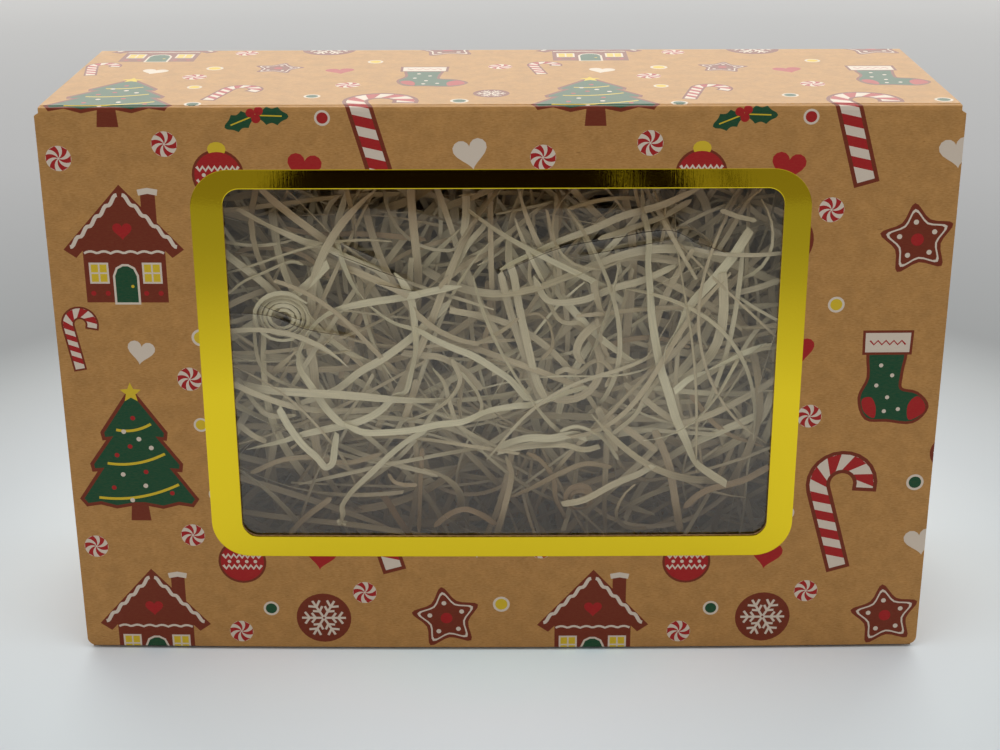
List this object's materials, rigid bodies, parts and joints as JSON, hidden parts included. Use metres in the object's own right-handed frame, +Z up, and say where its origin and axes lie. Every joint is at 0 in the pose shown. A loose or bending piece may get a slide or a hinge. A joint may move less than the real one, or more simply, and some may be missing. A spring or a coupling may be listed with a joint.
{
  "type": "windowed gift box",
  "caption": "Folded kraft board gift box with a hinged lid, a clear window in a gold foil frame, a tuck flap, rolled side walls and wood wool inside.",
  "frame": {"origin": "middle of the footprint, on the surface that the box stands on", "axes": "+X along the box to the right as seen from the lid, +Y from the lid towards the base panel, +Z up from the tuck wall to the hinge wall"},
  "size_m": [0.32, 0.104, 0.212],
  "materials": {
    "kraft_board": "matte",
    "gold_foil": "polished",
    "clear_film": "gloss",
    "wood_wool": "matte"
  },
  "bodies": {
    "tray": {"base_panel": "kraft_board", "hinge_wall": "kraft_board", "tuck_wall": "kraft_board", "left_outer_wall": "kraft_board", "left_rolled_edge": "kraft_board", "left_inner_wall": "kraft_board", "left_upper_corner_flap": "kraft_board", "left_lower_corner_flap": "kraft_board", "right_outer_wall": "kraft_board", "right_rolled_edge": "kraft_board", "right_inner_wall": "kraft_board", "right_upper_corner_flap": "kraft_board", "right_lower_corner_flap": "kraft_board", "wood_wool_bed": "wood_wool", "shred_strand_01": "wood_wool", "shred_strand_02": "wood_wool", "shred_strand_03": "wood_wool", "shred_strand_04": "wood_wool", "shred_strand_05": "wood_wool", "shred_strand_06": "wood_wool", "shred_strand_07": "wood_wool", "shred_strand_08": "wood_wool", "shred_strand_09": "wood_wool", "shred_strand_10": "wood_wool", "shred_strand_11": "wood_wool", "shred_strand_12": "wood_wool", "shred_strand_13": "wood_wool", "shred_strand_14": "wood_wool", "shred_strand_15": "wood_wool", "shred_strand_16": "wood_wool", "shred_strand_17": "wood_wool", "shred_strand_18": "wood_wool", "shred_strand_19": "wood_wool", "shred_strand_20": "wood_wool", "shred_strand_21": "wood_wool", "shred_strand_22": "wood_wool", "shred_strand_23": "wood_wool", "shred_strand_24": "wood_wool", "shred_strand_25": "wood_wool", "shred_strand_26": "wood_wool", "shred_strand_27": "wood_wool", "shred_strand_28": "wood_wool", "shred_strand_29": "wood_wool", "shred_strand_30": "wood_wool", "shred_strand_31": "wood_wool", "shred_strand_32": "wood_wool"},
    "lid": {"lid_panel": "kraft_board", "foil_frame": "gold_foil", "window_film": "clear_film"},
    "tuck_flap": {"tuck_flap": "kraft_board"}
  },
  "joints": [
    {"name": "lid_hinge", "type": "hinge", "parent": "tray", "child": "lid", "pos_m": [0, -0.052, 0.212], "axis": [-1, 0, 0], "range_deg": [0, 255]},
    {"name": "tuck_flap_fold", "type": "hinge", "parent": "lid", "child": "tuck_flap", "pos_m": [0, -0.0502, 0.00339], "axis": [1, 0, 0], "range_deg": [0, 84]}
  ]
}
